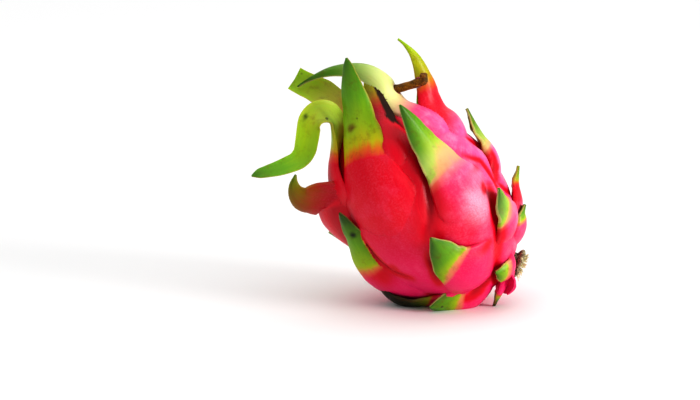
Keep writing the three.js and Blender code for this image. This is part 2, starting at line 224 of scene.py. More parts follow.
# The stub of the stalk: place along its axis and radius, both in millimetres, and share of raggedness,
# from the plug in the skin over the collar to the hollow of the torn face. Then what is cut free for it:
# radii of plug and collar, depth, height and clearance. Last its fibres.
STUB_PROFILE = [(-7, 5, 0), (-2, 5, 0), (1, 5, 0.1), (2.2, 6.9, 0.2), (3.4, 7.3, 0.35), (4.4, 6.6, 0.7),
                (4.8, 5.2, 0.9), (3.8, 3.6, 0.5), (3.2, 1.4, 0.3)]
STUB_RINGS = 44
STUB_AROUND = 64
STUB_PLUG = 5 * MM
STUB_RADIUS = 7 * MM
STUB_SUNK = 7 * MM
STUB_OUT = 6 * MM
GAP = 0.35 * MM
FIBRES = 90
FIBRE_SEED = 31

# The withered flower: radius, then the bends of its middle line from the body's middle, in millimetres.
REMNANT_RADIUS = 2.2 * MM
REMNANT_AROUND = 28
REMNANT_BENDS = [(-19, 2, 56.5), (-13, 0, 58.5), (-8, -3, 60.6), (-3.2, -5.8, 62.8), (-1.2, -7.6, 63.8),
                 (-1.3, -8.6, 67.2)]

# Shares of green at which a blade has each colour.
LEAF_STOPS = {"red": 0.33, "orange": 0.44, "yellow": 0.51, "lime": 0.62, "green": 0.76, "dark_green": 0.98}

# Soft boxes: place and aim from the body's middle and side in metres, and watts. Half the floor's side.
SOFT_BOXES = {
    "ceiling_softbox": ((0.0, 0.8, 2.4), (0.0, 0.8, 0.0), 6, 70),
    "right_softbox": ((1.1, -0.55, 0.3), (0.0, 0.0, 0.0), 0.45, 9),
    "left_softbox": ((-0.7, -1.0, 0.4), (0.0, 0.0, 0.0), 0.5, 0.5),
}
FLOOR_REACH = 6.0


def linear(hex_colour):
    """An sRGB hex string as linear red, green, blue and alpha: ((c + 0.055) / 1.055) to the power 2.4."""
    parts = [int(hex_colour[i : i + 2], 16) / 255 for i in (0, 2, 4)]
    return tuple(c / 12.92 if c <= 0.04045 else ((c + 0.055) / 1.055) ** 2.4 for c in parts) + (1.0,)


def length(name, description, default):
    """A length property, given in millimetres and kept in metres."""
    return bpy.props.FloatProperty(
        name=name, description=description, default=default * MM, min=0, unit="LENGTH", precision=4
    )


def degrees(name, description, default):
    """An angle property, given in degrees and kept in radians."""
    return bpy.props.FloatProperty(name=name, description=description, default=default * DEG, subtype="ANGLE")


def colour(name, description, hex_colour):
    """A colour property, given as an sRGB hex string and kept linear."""
    return bpy.props.FloatVectorProperty(
        name=name, description=description, default=linear(hex_colour), size=4, min=0, max=1, subtype="COLOR"
    )


class FruitSizes(bpy.types.PropertyGroup):
    half_length: length("Half length", "Half the smooth body's length from stem end to flower end", 54.5)
    half_width: length("Half width", "Half the smooth body's width", 40.5)
    tilt: degrees("Tilt", "Lean of the long axis from upright", 41)
    bend: degrees("Bend", "How far both ends bend to the upper right", 20)
    middle: bpy.props.FloatVectorProperty(
        name="Middle", description="The body's middle", default=(0.0165, -0.0007, 0.0505),
        subtype="TRANSLATION",
    )
    navel_depth: length("Navel depth", "Depth of the dimple at the flower end", 6)
    stem_depth: length("Stem dimple", "Depth of the dimple at the stem end", 3)
    lobe_thick: length("Lobe thickness", "Thickness in the middle of a scale's lobe", 5)
    tip_thick: length("Tip thickness", "Thickness in the middle of a blade's tip", 1.5)
    root_depth: length("Root depth", "How deep the root of a lobe is sunk", 4)
    axil_height: length("Axil height", "Height of a lobe's middle layer at the axil", 2)
    lump_height: length("Lumps", "Height of the soft lumps of the skin", 0.5)
    wave_height: length("Waves", "Height of the waves along a blade's margins", 0.7)


class FruitColours(bpy.types.PropertyGroup):
    # Orchid and pink lie towards the upper right: partly the skin's own colour and partly painted light.
    orchid: colour("Orchid", "Bluer pink at the very top right", "F064A6")
    crimson: colour("Crimson", "Red of the skin where it is deepest", "D80228")
    pink: colour("Pink", "Pink of the skin towards the upper right", "F0467E")
    # Magenta: the underside's bluish red, made lighter as painted light from the floor.
    magenta: colour("Magenta", "Bluish red of the underside", "E8226C")
    # Crease: painted shade, the dark red in the creases, the hollows and the lobes that lie in shadow.
    crease: colour("Crease", "Dark red in the creases under the scales", "8E0016")
    # The wax's pale pink, also the colour of the painted highlights.
    bloom: colour("Bloom", "Pale pink where the skin's wax is thick", "FFB0C4")
    peach: colour("Peach", "Soft blend where a pink scale turns green", "D88A60")
    red: colour("Scale red", "Red of a scale below its turn", "E3142C")
    orange: colour("Orange", "Narrow band where a scale turns", "D8701C")
    yellow: colour("Yellow", "Between the orange and the green of a scale", "BCB414")
    lime: colour("Lime", "Young green of a scale", "9DBB1E")
    green: colour("Green", "Full green of a scale", "6C9F1E")
    dark_green: colour("Dark green", "Green of the tips", "3F6A1A")
    pale_yellow: colour("Pale yellow", "The palest blades at their base", "FAF8B0")
    brown: colour("Brown", "Olive brown of the ageing blades", "6E4204")
    dry: colour("Dry margin", "Withered brown margins and specks", "2E160C")
    stalk: colour("Stalk", "Dried brown of the stalk", "5A3E30")
    fibre: colour("Fibre", "Pale fibres of the torn stalk", "F2E8B4")
    withered: colour("Withered flower", "Brown of the withered flower", "7A4A14")
    amber: colour("Amber", "Palest parts of the withered flower", "C8841E")
    vein: colour("Vein", "Fine pale speckle of the skin", "FF9CC0")
    tan: colour("Tan edge", "Dried edge of a green scale", "C08A3C")
    cream: colour("Cream edge", "Dried edge of a pink scale", "EBCB96")
    # Near black of dead tips and marks, and painted shade on the scale that lies in shadow underneath.
    scorched_and_shade: colour("Scorched", "Near black of dead tips and marks", "10140A")
    moss: colour("Moss", "Dull green film on dead fibre", "4C4A12")
    pit: colour("Pit", "Dark of the pits in dead fibre", "1E130A")


class StageSettings(bpy.types.PropertyGroup):
    floor: colour("Floor", "Colour of the plain floor", "FAFAFA")
    elevation: degrees("Elevation", "How far the camera looks down", 12)
    distance: length("Distance", "From the camera to the middle of the picture", 1500)
    picture_width: length("Picture width", "Width that the picture covers at that distance", 350)
    aside: length("Aside", "How far the picture's middle lies to the left of the body's middle", 37.5)
    above: length("Above", "How far the picture's middle lies above the body's middle", 2)
    surroundings: bpy.props.FloatProperty(
        name="Surroundings", description="Strength of the light from the white room", default=0.3
    )


def unit(v):
    """v over its length, along the last axis."""
    return v / np.linalg.norm(v, axis=-1, keepdims=True)


def turned(v, axis, angle):
    """v turned about a unit axis: v cos a + (axis x v) sin a + axis (axis . v) (1 - cos a)."""
    held = axis * (axis @ v) * (1 - math.cos(angle))
    return v * math.cos(angle) + np.cross(axis, v) * math.sin(angle) + held


def axes(sizes):
    """The body's long axis, its side and its back, as rows."""
    s, c = math.sin(sizes.tilt), math.cos(sizes.tilt)
    return np.array([(-s, 0, c), (c, 0, s), (0, 1, 0)])


def body_at(sizes, polar, turn):
    """Points and outward normals of the smooth body. A unit sphere with its pole at the flower end is
    bent by bend * cos(polar) in the plane of its long axis and side, then stretched to the half length
    and half width."""
    p, t = np.asarray(polar, float) * DEG, np.asarray(turn, float) * DEG
    bend = sizes.bend * np.cos(p)
    along = np.cos(p) * np.cos(bend) - np.sin(p) * np.cos(t) * np.sin(bend)
    aside = np.cos(p) * np.sin(bend) + np.sin(p) * np.cos(t) * np.cos(bend)
    sphere = np.stack([along, aside, np.sin(p) * np.sin(t)], -1)
    stretch = np.array([sizes.half_length, sizes.half_width, sizes.half_width])
    points = (sphere * stretch) @ axes(sizes) + np.array(sizes.middle)
    return points, unit((sphere / stretch) @ axes(sizes))


def skin_frame(sizes, polar, turn):
    """A body point with its normal, the way up the skin to the flower end, and the way across."""
    point, normal = body_at(sizes, polar, turn)
    ahead = body_at(sizes, polar - 0.5, turn)[0] - body_at(sizes, polar + 0.5, turn)[0]
    up = unit(ahead - normal * (ahead @ normal))
    return point, normal, up, np.cross(normal, up)


def make_draw(seed):
    """Seeded numbers from -1 to 1: state = state * 48271 mod 2147483647."""
    state = seed
    while True:
        state = state * 48271 % 2147483647
        yield 2 * state / 2147483647 - 1


def all_scales():
    """The front's scales and the back's, whose places, lengths and turns vary by seeded draws."""
    draw = make_draw(SEED)
    back = []
    for polar, turns, free, wide in BACK_RINGS:
        for turn in turns:
            at = (polar + BACK_JITTER * next(draw), turn + BACK_JITTER * next(draw))
            longer = free * (1 + 0.1 * next(draw))
            curl = (16 + 6 * next(draw), 10, 0)
            swing = (8 * next(draw),)
            back.append(dict(at=at, base=12 + free, free=longer, wide=wide, curl=curl, swing=swing,
                             green=BACK_GREEN, pink=0.0))
    return FRONT_SCALES + back


def scale_stations(sizes, scale):
    """Rows of point, normal, across, half width, thickness, edge drop, cup angle and place along the
    scale, from the sunk root, -1, over the axil, 0, to the tip, 1. The lobe follows the skin; the blade
    turns step by step."""
    polar, turn = scale["at"]
    wide, lobe = scale["wide"] * MM, scale["wide"] * LOBE_SHARE * MM
    cant = scale.get("cant", 0) * DEG
    rows = []
    for z in np.linspace(1, 0, LOBE_STEPS + 1):
        place = polar + z * scale["base"]
        point, normal, up, across = skin_frame(sizes, place, turn)
        spread = math.sin(min(1, z / 0.6) * math.pi / 2)
        half = wide + (lobe - wide) * spread - 0.5 * lobe * max(0, (z - 0.5) / 0.5) ** 2
        point = point + normal * (sizes.axil_height - (sizes.root_depth + sizes.axil_height) * z**2)
        normal, across = (turned(v, up, cant * (1 - z)) for v in (normal, across))
        cup = min(WRAP, half / (sizes.half_width * math.sin(place * DEG)))
        rows.append([*point, *normal, *across, half, sizes.lobe_thick, (0.3 + 1.5 * z) * MM, cup, -z])
    hinge = skin_frame(sizes, polar, turn)[3]
    bends = len(scale["curl"])
    steps = bends * max(1, math.floor(scale["free"] / BLADE_STEP / bends + 0.5))
    for i in range(1, steps + 1):
        y = i / steps
        for key in ("curl", "swing", "roll"):
            shares = scale.get(key, (0,))
            angle = shares[math.floor((y - 0.5 / steps) * len(shares))] * len(shares) * DEG / steps
            axis = {"curl": -hinge, "swing": normal, "roll": up}[key]
            normal, up, across = (turned(v, axis, angle) for v in (normal, up, across))
        point = point + up * scale["free"] * MM / steps
        tip = scale.get("tip", 0)
        narrow = tip + (1 - tip) * (1 - y) ** scale.get("taper", 0.65)
        thick = sizes.tip_thick + (sizes.lobe_thick - sizes.tip_thick) * (1 - y) ** 1.7
        bow = cup + (CUP - cup) * min(1, 2 * y)
        half = max(TIP_HALF, wide * narrow)
        drop = 0.3 * max(0, 1 - 4 * y) * MM
        rows.append([*point, *normal, *across, half, thick, drop, bow, y])
    return np.array(rows)


def smooth_rows(rows, count):
    """count rows along the Catmull-Rom curve through the given ones, evenly spaced in their points."""
    gaps = np.linalg.norm(np.diff(rows[:, :3], axis=0), axis=1)
    reach = np.concatenate([[0], np.cumsum(gaps)])
    at = np.interp(np.linspace(0, reach[-1], count), reach, np.arange(len(rows)))
    i = np.clip(np.floor(at).astype(int), 0, len(rows) - 2)
    t = (at - i)[:, None]
    padded = np.vstack([2 * rows[0] - rows[1], rows, 2 * rows[-1] - rows[-2]])
    a, b, c, d = (padded[i + k] for k in range(4))
    return 0.5 * (2 * b + (c - a) * t + (2 * a - 5 * b + 4 * c - d) * t**2 + (3 * b - a - 3 * c + d) * t**3)


def wobble(s, seed, turns):
    """A smooth seeded wobble of s: a sum of sines with 1 to 4 times turns waves, each half as high."""
    draw = make_draw(seed)
    total = 0
    for k in range(1, 5):
        total = total + np.sin(2 * math.pi * (k * turns * s + next(draw))) / 2 ** (k - 1)
    return total / 1.9


def closed_mesh(name, rings, attributes):
    """A closed mesh from rings of points: quads between rings, a fan on a middle point at both ends, all
    turned outward by the sign of the volume. Attributes are arrays over the same rings; an end's middle
    point takes their mean."""
    count, around = rings.shape[:2]
    index = np.arange(count * around).reshape(count, around)
    beside = np.roll(index, -1, 1)
    quads = np.stack([index[:-1], beside[:-1], beside[1:], index[1:]], -1).reshape(-1, 4)
    hubs = count * around + np.array([0, 1])
    fans = [
        np.stack([np.full(around, hubs[0]), beside[0], index[0]], -1),
        np.stack([np.full(around, hubs[1]), index[-1], beside[-1]], -1),
    ]
    points = np.vstack([rings.reshape(-1, 3), rings[[0, -1]].mean(1)])
    corners = points[quads]
    facing = np.cross(corners[:, 1] - corners[:, 0], corners[:, 3] - corners[:, 0])
    volume = np.einsum("ij,ij->", corners[:, 0] - points[hubs[0]], facing)
    faces = quads.tolist() + np.vstack(fans).tolist()
    if volume < 0:
        faces = [face[::-1] for face in faces]
    mesh = bpy.data.meshes.new(name)
    mesh.from_pydata(points.tolist(), [], faces)
    for key, values in {**attributes, "made": np.ones((count, around))}.items():
        ends = [end.reshape(around, -1).mean(0) for end in (values[0], values[-1])]
        write_attribute(mesh, key, np.vstack([values.reshape(count * around, -1), *ends]))
    return mesh


def write_attribute(mesh, key, flat):
    """Writes one float or one vector for each vertex, over what the attribute held."""
    vector = flat.shape[1] == 3
    kind = "FLOAT_VECTOR" if vector else "FLOAT"
    layer = mesh.attributes.get(key) or mesh.attributes.new(key, kind, "POINT")
    layer.data.foreach_set("vector" if vector else "value", flat.astype(np.float32).ravel())


def read_attribute(mesh, key, size=1):
    """The same, read back as an array."""
    flat = np.zeros(len(mesh.vertices) * size, np.float32)
    mesh.attributes[key].data.foreach_get("vector" if size == 3 else "value", flat)
    return flat.reshape(-1, size)


def scale_mesh(sizes, scale, number):
    """A scale: at each station an arched section of half angle cup, tau = cos(angle) across it, of
    thickness t * (e + (1 - e)(1 - tau^2)) rounded off at both margins, which wave a little."""
    coarse = scale_stations(sizes, scale)
    reach = np.linalg.norm(np.diff(coarse[:, :3], axis=0), axis=1).sum()
    rows = smooth_rows(coarse, max(FEWEST_STATIONS, int(reach / STATION)))
    point, normal, across = rows[:, None, 0:3], unit(rows[:, None, 3:6]), unit(rows[:, None, 6:9])
    half, thick, drop, cup, along = (rows[:, 9:14].T)[:, :, None]
    half = np.maximum(half, LEAST_HALF)
    angle = np.linspace(0, 2 * math.pi, ACROSS_POINTS, endpoint=False)[None]
    along, tau = np.broadcast_arrays(along, np.cos(angle))
    blade = np.clip(along, 0, 1)
    above_axil = np.clip(1 + 6 * along, 0, 1)
    margin = np.abs(tau) ** 3 * np.minimum(1, 6 * blade)
    left = tau < 0
    uneven = np.where(left, wobble(along, 3 * number + 1, 2), wobble(along, 3 * number + 2, 2))
    half = half * (1 + 0.05 * uneven * np.minimum(1, 4 * blade))
    rounded = np.sqrt(1 - (1 - np.minimum(1, np.abs(np.sin(angle)) / 0.35)) ** 2)
    profile = EDGE_SHARE * rounded + (1 - EDGE_SHARE) * np.sin(angle) ** 2
    layer = 0.5 * thick * profile * np.sign(np.sin(angle))
    waves = np.where(left, wobble(along, 3 * number + 5, 1.5), wobble(along, 3 * number + 6, 1.5))
    lift = sizes.wave_height * waves * margin * np.minimum(1, half / (6 * MM))
    radius = half / cup
    rise = layer - radius * (1 - np.cos(cup * tau)) - drop * tau**2 + lift
    rings = point + across * (radius * np.sin(cup * tau))[..., None] + normal * rise[..., None]

    def by_steps(key):
        """A colour share given at even steps from the axil to the tip, fading out below the axil."""
        shares = scale.get(key, (0,))
        return np.interp(along, np.linspace(0, 1, len(shares)), shares) * above_axil

    def marked(key):
        """The round marks: share * 1.6 * (1 - distance / reach), at most the share."""
        total = np.zeros_like(along)
        for place, side, reach, share in scale.get(key, ()):
            away = np.hypot((along - place) * scale["free"], (tau - side) * half / MM)
            total = total + share * np.clip(1.6 * (1 - away / reach), 0, 1)
        return total

    leaning = scale.get("slant", 0) * tau + scale.get("edge", 0) * (tau**2 - 0.4)
    right_and_tip = 2.5 * (-0.2 - tau) + 3 * np.maximum(0, along - 0.8)
    withered = np.clip(right_and_tip, 0, 1) * np.clip(1 + 4 * along, 0, 1)
    own = np.full_like(along, 7.3 * number)
    attributes = {
        "green": by_steps("green") + leaning * above_axil,
        "pale": by_steps("pale"),
        "brown": by_steps("brown") + marked("rust"),
        "dark": by_steps("dark") + marked("specks"),
        "along": along,
        "margin": np.abs(tau) * np.minimum(1, 8 * blade + 0.3),
        "pink": scale["pink"] * np.clip(1 + 1.5 * along, 0, 1),
        "dry": scale.get("dry", 0) * withered,
        "grain": np.stack([half * tau / MM, along * (scale["free"] + 20), own], -1),
    }
    return closed_mesh("scale_%d" % number, rings, attributes)


def body_mesh(sizes):
    """The smooth body with a dimple at each end, depth * (1 - (angle / reach)^2), and soft lumps: the
    product of slow sines of turn and polar angle."""
    polar = (180 * (np.arange(BODY_RINGS) + 0.35) / (BODY_RINGS - 0.3))[:, None]
    turn = (360 * np.arange(BODY_AROUND) / BODY_AROUND)[None]
    polar, turn = np.broadcast_arrays(polar, turn)
    points, normals = body_at(sizes, polar, turn)
    navel = sizes.navel_depth * np.maximum(0, 1 - (polar / NAVEL_ANGLE) ** 2)
    stem = sizes.stem_depth * np.maximum(0, 1 - ((180 - polar) / STEM_ANGLE) ** 2)
    lumps = np.sin(5 * turn * DEG + 3 * polar * DEG) * np.sin(7 * polar * DEG + 1) * np.sin(polar * DEG)
    rings = points + normals * (sizes.lump_height * (lumps - 1) / 2 - navel - stem)[..., None]
    nothing = np.zeros_like(polar)
    girth = sizes.half_width / MM * np.sin(polar * DEG)
    grain = np.stack([girth * turn * DEG, -sizes.half_length / MM * polar * DEG, nothing], -1)
    attributes = {**dict.fromkeys(SHARES, nothing), "along": nothing - 1, "grain": grain}
    return closed_mesh("body", rings, attributes)


def rays(ahead, share):
    """Unit vectors at right angles to ahead, at shares of a turn round it: u cos(angle) + v sin(angle)."""
    u = unit(np.cross((0, 1.0, 0), ahead))
    v = np.cross(ahead, u)
    angle = 2 * math.pi * np.asarray(share)[:, None]
    return u[..., None, :] * np.cos(angle) + v[..., None, :] * np.sin(angle)


def tube_mesh(name, path, radius, sides, attributes=None, rough=0):
    """A closed tube: at each point of the path a ring of the given radius, at right angles to the path,
    whose radius is multiplied by 1 + rough."""
    ahead = unit(np.gradient(path, axis=0))
    size = np.asarray(radius)[:, None] * (1 + rough) * np.ones(sides)
    rings = path[:, None] + rays(ahead, np.linspace(0, 1, sides, endpoint=False)) * size[..., None]
    return closed_mesh(name, rings, attributes or {})


def neighbour_sum(edges, values, count):
    """For each vertex, the sum of values over the vertices that share an edge with it."""
    both = np.concatenate([edges, edges[:, ::-1]])
    sums = [np.bincount(both[:, 0], column[both[:, 1]], count) for column in values.T]
    return np.stack(sums, -1)


def mesh_arrays(mesh):
    """The mesh's points, vertex normals and edges as arrays."""
    points = np.zeros(len(mesh.vertices) * 3, np.float32)
    normals = np.zeros(len(mesh.vertices) * 3, np.float32)
    edges = np.zeros(len(mesh.edges) * 2, np.int32)
    mesh.vertices.foreach_get("co", points)
    mesh.vertex_normals.foreach_get("vector", normals)
    mesh.edges.foreach_get("vertices", edges)
    return points.reshape(-1, 3).astype(float), normals.reshape(-1, 3), edges.reshape(-1, 2)


def fill_seams(mesh, sizes_of):
    """New vertices on the seams of a join carry no values. Each takes the mean of neighbours that do."""
    edges = mesh_arrays(mesh)[2]
    known = read_attribute(mesh, "made") > 0.5
    count = len(known)
    for _ in range(SEAM_ROUNDS):
        weight = known.astype(float)
        near = neighbour_sum(edges, weight, count)
        new = (~known & (near > 0))[:, 0]
        if not new.any():
            break
        for key, size in sizes_of.items():
            values = read_attribute(mesh, key, size).astype(float)
            total = neighbour_sum(edges, values * weight, count)
            values[new] = total[new] / near[new]
            write_attribute(mesh, key, values)
        known = known | new[:, None]


def add_hollows(mesh):
    """hollow: how many millimetres a vertex lies below the surface smoothed by means of neighbours."""
    points, normals, edges = mesh_arrays(mesh)
    near = neighbour_sum(edges, np.ones((len(points), 1)), len(points))
    smooth = points.copy()
    for _ in range(HOLLOW_ROUNDS):
        smooth = 0.5 * smooth + 0.5 * neighbour_sum(edges, smooth, len(points)) / near
    depth = ((smooth - points) * normals).sum(1, keepdims=True) / MM
    for _ in range(SOFTENING_ROUNDS):
        depth = 0.5 * depth + 0.5 * neighbour_sum(edges, depth, len(points)) / near
    write_attribute(mesh, "hollow", depth)


def beside_path(sizes, points, wide, knots):
    """exp(-(distance / half width)^2) from a path on the skin, fading at its ends, and its normals."""
    s = np.linspace(0, 1, PATH_POINTS)
    stops = np.linspace(0, 1, len(knots))
    polar, turn = (np.interp(s, stops, column) for column in np.array(knots, float).T)
    path, normals = body_at(sizes, polar, turn)
    apart = np.linalg.norm(points[:, None] - path[None], axis=2)
    nearest = apart.argmin(1)
    fading = np.sin(math.pi * (0.06 + 0.88 * s[nearest])) ** 0.6
    share = np.exp(-((apart.min(1) / (wide * MM)) ** 2)) * fading
    return share[:, None], normals[nearest]


def about_point(sizes, points, reach, polar, turn):
    """(1 - (distance / reach)^2)^2 about a place on the skin, and the normal there."""
    middle, normal = body_at(sizes, polar, turn)
    apart = np.linalg.norm(points - middle, axis=1, keepdims=True) / (reach * MM)
    return np.maximum(0, 1 - apart**2) ** 2, normal


def sculpt(mesh, sizes):
    """Presses the creases into the skin by depth * share and raises the cushions by height * share. Each
    crease also leaves a share of painted shade; the shade paths leave painted shade and the painted
    highlights leave painted light, only as shares for the colours. The blades are left as they are."""
    points = mesh_arrays(mesh)[0]
    skin = np.clip(1 - 6 * read_attribute(mesh, "along"), 0, 1)
    shift = np.zeros_like(points)
    shade = np.zeros((len(points), 1))
    bloom = np.zeros((len(points), 1))
    for depth, wide, knots in CREASES:
        share, normals = beside_path(sizes, points, wide, knots)
        shift -= share * depth * MM * normals * skin
        # Painted shade along each crease, for the colours.
        shade = np.maximum(shade, 0.8 * share * skin * min(1, depth / 2))
    for height, reach, polar, turn in CUSHIONS:
        share, normal = about_point(sizes, points, reach, polar, turn)
        shift += height * MM * share * normal * skin
    # Painted shade along the shade paths.
    for strength, wide, knots in SHADES:
        share = beside_path(sizes, points, wide, knots)[0]
        shade = np.maximum(shade, strength * share * skin)
    # Painted highlights.
    for strength, reach, polar, turn in PAINTED_HIGHLIGHTS:
        share = about_point(sizes, points, reach, polar, turn)[0]
        bloom = np.maximum(bloom, strength * share * skin)
    mesh.vertices.foreach_set("co", (points + shift).astype(np.float32).ravel())
    mesh.update()
    write_attribute(mesh, "shade", shade)
    write_attribute(mesh, "bloom", bloom)


def object_of(data, collection=None):
    """A new object of the data's own name, at the origin, in the scene or in the collection."""
    made = bpy.data.objects.new(data.name, data)
    (collection or bpy.context.scene.collection).objects.link(made)
    return made


def joined(base, others, operation):
    """The base mesh united with the others, or cut by them, as one new mesh. It uses up what it is given."""
    hold = bpy.data.collections.new("joining")
    bpy.context.scene.collection.children.link(hold)
    first = object_of(base)
    for mesh in others:
        object_of(mesh, hold)
    modifier = first.modifiers.new("join", "BOOLEAN")
    modifier.operation, modifier.operand_type, modifier.collection = operation, "COLLECTION", hold
    modifier.solver = "MANIFOLD"
    bpy.context.view_layer.update()
    shape = first.evaluated_get(bpy.context.evaluated_depsgraph_get())
    made = bpy.data.meshes.new_from_object(shape)
    for item in [first, *hold.objects]:
        bpy.data.meshes.remove(item.data)
    bpy.data.collections.remove(hold)
    return made


def soft_shading(mesh, sharp_angle):
    """Smooth shading with a crease only where faces meet at more than the angle."""
    mesh.shade_smooth()
    mesh.set_sharp_from_angle(angle=sharp_angle)


def socket(sockets, key):
    """The first enabled socket with that identifier or name."""
    return next(s for s in sockets if key in (s.identifier, s.name) and s.enabled)


def fill(tree, node, inputs):
    """Sets a node's inputs: a socket is linked and any other value is set."""
    for key, value in inputs.items():
        into = socket(node.inputs, key)
        if isinstance(value, bpy.types.NodeSocket):
            tree.links.new(value, into)
        else:
            into.default_value = value


def add(tree, kind, inputs=None, **settings):
    """Adds a node, with its own settings and its inputs."""
    made = tree.nodes.new(kind)
    for key, value in settings.items():
        setattr(made, key, value)
    fill(tree, made, inputs or {})
    return made


def ramp(tree, factor, stops):
    """A colour ramp through (position, colour) stops."""
    made = add(tree, "ShaderNodeValToRGB", {"Fac": factor})
    elements = made.color_ramp.elements
    while len(elements) < len(stops):
        elements.new(0.5)
    for element, (position, value) in zip(elements, stops):
        element.position = position
        element.color = value
    return made.outputs["Color"]


def mix(tree, factor, a, b):
    """Colour a mixed with colour b."""
    made = add(tree, "ShaderNodeMix", {"Factor_Float": factor, "A_Color": a, "B_Color": b}, data_type="RGBA")
    return socket(made.outputs, "Result_Color")


def math_of(tree, operation, a, b, clamp=False):
    """One operation on two values."""
    made = add(tree, "ShaderNodeMath", {"Value": a, "Value_001": b}, operation=operation, use_clamp=clamp)
    return made.outputs[0]


def plus(tree, a, b, clamp=False):
    """The sum of two values."""
    return math_of(tree, "ADD", a, b, clamp)


def times(tree, a, b, clamp=False):
    """The product of two values."""
    return math_of(tree, "MULTIPLY", a, b, clamp)


def span(tree, value, low, high, to_low=0.0, to_high=1.0):
    """value taken smoothly from low..high to to_low..to_high."""
    inputs = {"Value": value, "From Min": low, "From Max": high, "To Min": to_low, "To Max": to_high}
    return add(tree, "ShaderNodeMapRange", inputs, interpolation_type="SMOOTHSTEP").outputs["Result"]


def attribute(tree, name, output="Fac"):
    """One of the mesh's own attributes, as a number or as a vector."""
    return add(tree, "ShaderNodeAttribute", attribute_name=name).outputs[output]


def noise(tree, vector, size, detail, roughness=0.5):
    """Noise whose blotches are about size across, in the vector's own unit."""
    inputs = {"Vector": vector, "Scale": 1 / size, "Detail": detail, "Roughness": roughness}
    return add(tree, "ShaderNodeTexNoise", inputs).outputs["Fac"]


def dots(tree, vector, size):
    """The distance to the nearest of points scattered about size apart."""
    return add(tree, "ShaderNodeTexVoronoi", {"Vector": vector, "Scale": 1 / size}).outputs["Distance"]


def bump(tree, height, strength, distance, **more):
    """A normal tilted by the height."""
    inputs = {"Height": height, "Strength": strength, "Distance": distance, **more}
    return add(tree, "ShaderNodeBump", inputs).outputs[0]


def new_material(name):
    """A material with an empty tree, its output and a Principled shader."""
    made = bpy.data.materials.new(name)
    made.use_nodes = True
    tree = made.node_tree
    tree.nodes.clear()
    shader = add(tree, "ShaderNodeBsdfPrincipled")
    add(tree, "ShaderNodeOutputMaterial", {"Surface": shader.outputs[0]})
    return made, tree, shader


def layered(tree, base, layers):
    """The base colour under one colour after another, each mixed in by its factor."""
    for factor, over in layers:
        base = mix(tree, factor, base, over)
    return base


